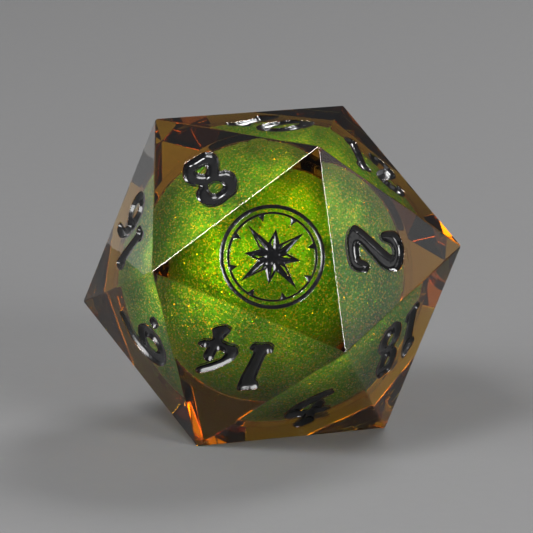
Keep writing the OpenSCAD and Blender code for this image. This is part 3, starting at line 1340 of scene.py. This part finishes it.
@dataclass
class InkSet:
    """The enamel in the recesses, dished as it dries and holding to the walls."""

    sizes: DieSizes
    spots: list[FaceSpot]
    lettering: Lettering
    finish: BlackEnamel = field(default_factory=BlackEnamel)
    bite: float = 0.012 * MM
    rim_sink: float = 0.05 * MM
    dish: float = 0.25 * MM
    dish_run: float = 0.17 * MM
    dish_power: float = 1.5
    emblem_dish: float = 0.08 * MM
    spacing: float = 0.075 * MM
    sharp_from: float = 50.0

    def build(self) -> list[bpy.types.Object]:
        """Builds, dresses and hands over the ink of every face.

        Returns:
            The inks, from the lowest number up, with the emblem last.
        """
        material = self.finish.material()
        pieces = []
        for spot in sorted(self.spots, key=lambda found: found.number):
            label = "emblem" if spot.has_emblem else f"{spot.number:02d}"
            piece = add_object(self._mesh(spot, f"enamel_{label}"), f"enamel_{label}")
            shade(piece.data, self.sharp_from)
            hand_over(piece, Body.DIE, (f"ink_{label}",), material)
            pieces.append(piece)
        return pieces

    def _mesh(self, spot: FaceSpot, name: str) -> bpy.types.Mesh:
        """One face's ink: a dished skin, walls that bite a little into the recess, and a floor.

        Args:
            spot: The face.
            name: The mesh's name.

        Returns:
            The mesh.
        """
        outline = self.lettering.marking(spot.number).grown(self.bite)
        sides = outline.sides()
        points, triangles = outline.filled(self.spacing)
        _, floor = outline.filled()
        reach = distance_to(points, outline.loops)
        dish = self.emblem_dish if spot.has_emblem else self.dish
        top = -self.rim_sink - dish * (1 - np.exp(-((reach / self.dish_run) ** self.dish_power)))
        draft = Draft()
        upper = draft.add_corners(spot.raised(points, top))
        lower = draft.add_corners(spot.raised(outline.points(), -self.sizes.recess_depth - self.bite))
        draft.add_cap(triangles, upper, True)
        draft.add_walls(sides, lower, upper)
        draft.add_cap(floor, lower, False)
        return draft.mesh(name)


@dataclass
class Capsule:
    """The clear capsule: two lapped halves and the stopper in its filling port."""

    sizes: DieSizes
    finish: ClearShell = field(default_factory=ClearShell)
    plug_finish: ClearShell = field(
        default_factory=lambda: ClearShell(Slot.PLUG, 1.03, (0.95, 0.93, 0.85, 1.0), (0.9, 0.88, 0.78, 1.0))
    )
    turns: int = 96
    arc_steps: int = 40
    joint_gap: float = 0.01 * MM
    weld: float = 1e-4 * MM
    sliver: float = 1e-5 * MM
    sharp_from: float = 40.0

    def build(self) -> list[bpy.types.Object]:
        """Builds, dresses and hands over the two halves and the stopper.

        Returns:
            The three pieces.
        """
        material = self.finish.material()
        plug_material = self.plug_finish.material()
        pieces = []
        for name, profile in (("capsule_lower", self._lower()), ("capsule_upper", self._upper())):
            piece = self._turned(profile, f"{name}_shell")
            hand_over(piece, Body.DIE, (name,), material)
            pieces.append(piece)
        plug = self._turned(self._plug(), "port_stopper")
        hand_over(plug, Body.DIE, ("fill_plug",), plug_material)
        return pieces + [plug]

    @property
    def inner(self) -> float:
        """Inside radius of the shell."""
        return self.sizes.capsule_radius - self.sizes.wall

    @property
    def lap(self) -> float:
        """Radius at which the two halves lap."""
        return self.sizes.capsule_radius - self.sizes.wall / 2

    def _arc(self, radius: float, low: float, high: float) -> list[tuple[float, float]]:
        """An arc about the centre.

        Args:
            radius: Its radius.
            low: The height that it starts at.
            high: The height that it ends at.

        Returns:
            Its points, each a distance from the upright axis and a height.
        """
        start, stop = (math.asin(max(-1.0, min(1.0, level / radius))) for level in (low, high))
        angles = np.linspace(start, stop, self.arc_steps)
        return [(radius * math.cos(angle), radius * math.sin(angle)) for angle in angles]

    def _lower(self) -> list[tuple[float, float]]:
        """The lower half's profile, with its lip.

        Returns:
            The profile, from axis to axis.
        """
        outer, top, gap = self.sizes.capsule_radius, self.sizes.lap_height, self.joint_gap
        profile = self._arc(outer, -outer, 0.0)
        profile += [(self.lap - gap, 0.0), (self.lap - gap, top)]
        return profile + self._arc(self.inner, top, -self.inner)

    def _upper(self) -> list[tuple[float, float]]:
        """The upper half's profile, from the port to the lap and back.

        Returns:
            The profile, closed on itself.
        """
        outer, gap, port = self.sizes.capsule_radius, self.joint_gap, self.sizes.port_radius
        top = self.sizes.lap_height + gap
        profile = self._arc(self.inner, math.sqrt(self.inner**2 - port**2), top)
        profile += [(self.lap, top), (self.lap, gap)]
        profile += self._arc(outer, gap, math.sqrt(outer**2 - port**2))
        return profile + profile[:1]

    def _plug(self) -> list[tuple[float, float]]:
        """The stopper's profile, flush with the shell inside and out.

        Returns:
            The profile, from axis to axis.
        """
        outer, port = self.sizes.capsule_radius, self.sizes.port_radius - self.joint_gap
        profile = self._arc(self.inner, self.inner, math.sqrt(self.inner**2 - port**2))
        return profile + self._arc(outer, math.sqrt(outer**2 - port**2), outer)

    def _turned(self, profile: Sequence[tuple[float, float]], name: str) -> bpy.types.Object:
        """A profile of radii and heights about the centre, turned about the upright axis.

        Args:
            profile: The profile, from axis to axis or closed on itself.
            name: The object's name.

        Returns:
            The object.
        """
        draft = Draft()
        middle = self.sizes.centre.z
        rings = []
        for radius, height in profile:
            ring = circle_loop(radius, self.turns)
            rings.append(draft.add_corners((x, y, middle + height) for x, y in ring))
        sides = ring_sides(self.turns)
        for lower, upper in zip(rings, rings[1:]):
            draft.add_walls(sides, lower, upper)
        made = add_object(draft.mesh(name, self.weld, self.sliver), name)
        shade(made.data, self.sharp_from)
        return made


@dataclass(frozen=True)
class FlakeKind:
    """One kind of glitter in the liquid: how many flakes, the seed that scatters them, and their film."""

    name: str
    count: int
    seed: int
    finish: GlitterFilm


GOLD_SHADES: Stops = (
    (0.0, (1.00, 0.55, 0.02, 1.0)),
    (0.3, (0.95, 0.90, 0.06, 1.0)),
    (0.7, (0.85, 1.00, 0.25, 1.0)),
    (1.0, (1.00, 1.00, 0.75, 1.0)),
)
GREEN_SHADES: Stops = (
    (0.0, (0.08, 0.75, 0.25, 1.0)),
    (0.5, (0.35, 0.90, 0.10, 1.0)),
    (1.0, (0.70, 0.95, 0.20, 1.0)),
)
FLAKE_KINDS = (
    FlakeKind("gold", 4200, 3, GlitterFilm(Slot.GOLD, GOLD_SHADES)),
    FlakeKind("green", 2400, 8, GlitterFilm(Slot.GREEN, GREEN_SHADES)),
)


@dataclass
class Fill:
    """What turns inside the capsule: the shimmering liquid and its two kinds of flake."""

    sizes: DieSizes
    liquid_finish: ShimmerLiquid = field(default_factory=ShimmerLiquid)
    flakes: tuple[FlakeKind, ...] = FLAKE_KINDS
    film: float = 0.1 * MM
    flake_sides: int = 6
    flake_width: float = 0.075 * MM
    flake_thickness: float = 0.012 * MM
    flake_sizes: tuple[float, float] = (0.65, 1.35)
    depths: tuple[float, float] = (0.36, 0.48)
    most_tilt: float = 0.55
    ball_divisions: int = 6

    def build(self) -> list[bpy.types.Object]:
        """Builds, dresses and hands over the liquid and the flakes.

        Returns:
            The three pieces.
        """
        liquid = self._liquid()
        hand_over(liquid, Body.FILL, ("shimmer_liquid",), self.liquid_finish.material())
        pieces = [liquid]
        for kind in self.flakes:
            material = kind.finish.material()
            piece = self._flakes(kind, material)
            hand_over(piece, Body.FILL, (f"{kind.name}_flakes",), material)
            pieces.append(piece)
        return pieces

    def _liquid(self) -> bpy.types.Object:
        """The ball of liquid, a film's thickness inside the capsule.

        Returns:
            The ball.
        """
        made = bpy.data.meshes.new("liquid_ball")
        work = bmesh.new()
        bmesh.ops.create_icosphere(
            work,
            subdivisions=self.ball_divisions,
            radius=self.sizes.fill_radius,
            matrix=Matrix.Translation(self.sizes.centre),
        )
        work.to_mesh(made)
        work.free()
        made.shade_smooth()
        return add_object(made, "liquid_ball")

    def _flakes(self, kind: FlakeKind, material: bpy.types.Material) -> bpy.types.Object:
        """Flakes scattered in the film between the liquid and the capsule, each leaning its own way.

        Args:
            kind: The kind of flake. Each random choice adds its own step to the kind's seed.
            material: The flakes' material.

        Returns:
            The object.
        """
        name, seed = f"{kind.name}_glitter", kind.seed
        tree = GeometryTree(name)
        number = tree.named_input("Count", kind.count, "NodeSocketInt")
        width = tree.named_input("Width", self.flake_width)
        thickness = tree.named_input("Thickness", self.flake_thickness)
        inner = tree.named_input("Liquid radius", self.sizes.fill_radius)
        film = tree.named_input("Film", self.film)
        most_tilt = tree.named_input("Most tilt", self.most_tilt)
        middle = tree.named_input("Centre height", self.sizes.centre.z)
        skin = tree.named_input("Material", material, "NodeSocketMaterial")
        level = self._random(tree, -1.0, 1.0, seed)
        turn = self._random(tree, 0.0, 2 * math.pi, seed + 1)
        depth = inner + film * self._random(tree, *self.depths, seed + 2)
        flat = depth * ((1 - level * level) ** 0.5)
        around = {0: flat * turn.cosine(), 1: flat * turn.sine(), 2: depth * level}
        away = tree.node("ShaderNodeCombineXYZ", None, around)
        place = tree.vector_maths("ADD", away, tree.node("ShaderNodeCombineXYZ", None, {2: middle}))
        points = tree.node("GeometryNodePoints", None, {"Count": number, "Position": place})
        cut = {"Vertices": self.flake_sides, "Radius": width * 0.5, "Depth": thickness}
        flake = tree.node("GeometryNodeMeshCylinder", None, cut, "Mesh")
        flat_on = tree.node("FunctionNodeAlignRotationToVector", {"axis": "Z"}, {"Vector": away})
        leaning = {
            0: most_tilt * self._random(tree, -1.0, 1.0, seed + 3),
            1: most_tilt * self._random(tree, -1.0, 1.0, seed + 6),
            2: self._random(tree, 0.0, math.pi, seed + 7),
        }
        lean = tree.node("ShaderNodeCombineXYZ", None, leaning)
        turned = {"Rotation": flat_on, "Rotate By": tree.node("FunctionNodeEulerToRotation", None, {0: lean})}
        tilt = tree.node("FunctionNodeRotateRotation", {"rotation_space": "LOCAL"}, turned)
        size = self._random(tree, *self.flake_sizes, seed + 4)
        scattered = {"Points": points, "Instance": flake, "Rotation": tilt, "Scale": size}
        spread = tree.node("GeometryNodeInstanceOnPoints", None, scattered)
        tint = self._random(tree, 0.0, 1.0, seed + 5)
        tinted = tree.node(
            "GeometryNodeStoreNamedAttribute",
            {"data_type": "FLOAT", "domain": "INSTANCE"},
            {"Geometry": spread, "Name": kind.finish.tint_name, "Value": tint},
        )
        return tree.run(tinted, skin, name)

    @staticmethod
    def _random(tree: GeometryTree, low: float, high: float, seed: int) -> Wire:
        """A random value for each point."""
        inputs = {2: low, 3: high, "Seed": seed}
        return tree.node("FunctionNodeRandomValue", {"data_type": "FLOAT"}, inputs, 1)


# ---- Studio ----


def direction(azimuth: float, elevation: float) -> Vector:
    """The direction of an azimuth, from the front towards the right, and an elevation, in degrees."""
    a, e = math.radians(azimuth), math.radians(elevation)
    return Vector((math.sin(a) * math.cos(e), -math.cos(a) * math.cos(e), math.sin(e)))


@dataclass(frozen=True)
class SoftBox:
    """A plain soft light that faces the die."""

    name: str
    azimuth: float
    elevation: float
    distance: float
    width: float
    height: float
    brightness: float
    turn: float = 0.0

    def light(self, target: Vector) -> bpy.types.Object:
        """Makes the light.

        Args:
            target: The point that it faces.

        Returns:
            The light's object.
        """
        lamp = bpy.data.lights.new(self.name, "AREA")
        lamp.shape = "RECTANGLE"
        lamp.size, lamp.size_y = self.width, self.height
        lamp.energy = self.brightness * math.pi * self.width * self.height
        made = bpy.data.objects.new(self.name, lamp)
        away = direction(self.azimuth, self.elevation)
        turn = Matrix.Rotation(math.radians(self.turn), 4, "Z")
        facing = away.to_track_quat("Z", "Y").to_matrix().to_4x4() @ turn
        made.matrix_world = Matrix.Translation(target + away * self.distance) @ facing
        bpy.context.scene.collection.objects.link(made)
        return made


@dataclass(frozen=True)
class Glow:
    """A soft bright patch of the surround: full within one angle of its middle, gone beyond another."""

    azimuth: float
    elevation: float
    full_within: float
    gone_beyond: float
    brightness: float


@dataclass
class Studio:
    """The floor, the soft lights and the camera."""

    sizes: DieSizes
    azimuth: float = 7.34
    elevation: float = 13.16
    roll: float = 0.62
    distance_in_edges: float = 24.0
    lens: float = 330.0
    sensor: float = 36.0
    clip: tuple[float, float] = (0.01, 10.0)
    aim_left: float = 0.32 * MM
    aim_up: float = 0.53 * MM
    floor_radius: float = 1.2
    floor_sides: int = 96
    softboxes: tuple[SoftBox, ...] = (
        SoftBox("key_left", -58.0, 16.0, 0.34, 0.24, 0.16, 12.0),
        SoftBox("soft_right", 46.0, 27.0, 0.36, 0.15, 0.13, 20.0, -9.0),
        SoftBox("low_right", 66.0, 8.0, 0.36, 0.12, 0.08, 10.0),
        SoftBox("soft_top", -38.0, 54.0, 0.36, 0.15, 0.10, 27.0, -28.0),
        SoftBox("high_right", 78.0, 50.0, 0.36, 0.14, 0.12, 1.6),
        SoftBox("side_right", 98.0, 15.0, 0.36, 0.11, 0.09, 1.0),
        SoftBox("back_main", 152.0, 46.0, 0.40, 0.15, 0.10, 28.0),
        SoftBox("low_back_left", -140.0, 3.0, 0.36, 0.20, 0.12, 0.45),
    )
    dim: Colour = (0.05, 0.05, 0.052, 1.0)
    glows: tuple[Glow, ...] = (
        Glow(-107.0, 50.0, 12.0, 45.0, 0.28),
        Glow(-139.0, 0.0, 14.0, 32.0, 0.35),
    )

    def build(self) -> None:
        """Sets up the whole studio."""
        self._camera()
        self._floor()
        self._world()
        for box in self.softboxes:
            box.light(self.sizes.centre)

    def _camera(self) -> None:
        """The camera, at the viewing angle and distance."""
        back = direction(self.azimuth, self.elevation)
        right = Vector((0, 0, 1)).cross(back).normalized()
        up = back.cross(right)
        target = self.sizes.centre - right * self.aim_left + up * self.aim_up
        roll = Matrix.Rotation(math.radians(self.roll), 4, back)
        turned = roll @ Matrix((right, up, back)).transposed().to_4x4()
        data = bpy.data.cameras.new("studio_camera")
        data.lens, data.sensor_width = self.lens, self.sensor
        data.clip_start, data.clip_end = self.clip
        camera = bpy.data.objects.new("studio_camera", data)
        place = target + back * self.distance_in_edges * self.sizes.edge
        camera.matrix_world = Matrix.Translation(place) @ turned
        bpy.context.scene.collection.objects.link(camera)
        bpy.context.scene.camera = camera

    def _floor(self) -> None:
        """A pale floor, with painted shade close to the die and painted light far off."""
        draft = Draft()
        points = circle_loop(self.floor_radius, self.floor_sides)
        first = draft.add_corners((x, y, 0.0) for x, y in points)
        middle = draft.add_corners([(0.0, 0.0, 0.0)])
        draft.faces += [(middle, a, b) for a, b in ring_sides(self.floor_sides, first)]
        floor = add_object(draft.mesh("studio_floor"), "studio_floor")
        floor.data.materials.append(StudioPaper().material())
        floor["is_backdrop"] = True

    def _world(self) -> None:
        """A dim, even surround with its soft bright patches."""
        world = bpy.data.worlds.new("studio_surround")
        bpy.context.scene.world = world
        world.use_nodes = True
        graph = Graph(world.node_tree)
        ray = graph.node("ShaderNodeTexCoord", output="Generated")
        colour: Union[Wire, Colour] = self.dim
        for glow in self.glows:
            toward = graph.vector_maths("DOT_PRODUCT", ray, tuple(direction(glow.azimuth, glow.elevation)))
            gone, full = (math.cos(math.radians(angle)) for angle in (glow.gone_beyond, glow.full_within))
            share = graph.node("ShaderNodeMapRange", {"clamp": True}, {0: toward, 1: gone, 2: full})
            lit = (glow.brightness,) * 3 + (1.0,)
            colour = graph.node("ShaderNodeMix", {"data_type": "RGBA"}, {0: share, 6: colour, 7: lit}, 2)
        surround = graph.node("ShaderNodeBackground", None, {"Color": colour, "Strength": 1.0})
        graph.node("ShaderNodeOutputWorld", None, {"Surface": surround})
        bpy.context.scene.view_settings.view_transform = "Standard"


def main() -> None:
    """Builds the die and its studio, piece by piece."""
    logging.basicConfig(level=logging.INFO, format="%(name)s: %(message)s")
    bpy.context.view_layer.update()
    sizes = DieSizes.from_frame()
    spots = FaceSpot.all_of(sizes)
    lettering = Lettering(sizes.edge)
    Studio(sizes).build()
    ResinCasting(sizes, spots, lettering).build()
    InkSet(sizes, spots, lettering).build()
    Capsule(sizes).build()
    Fill(sizes).build()


if __name__ == "__main__":
    main()
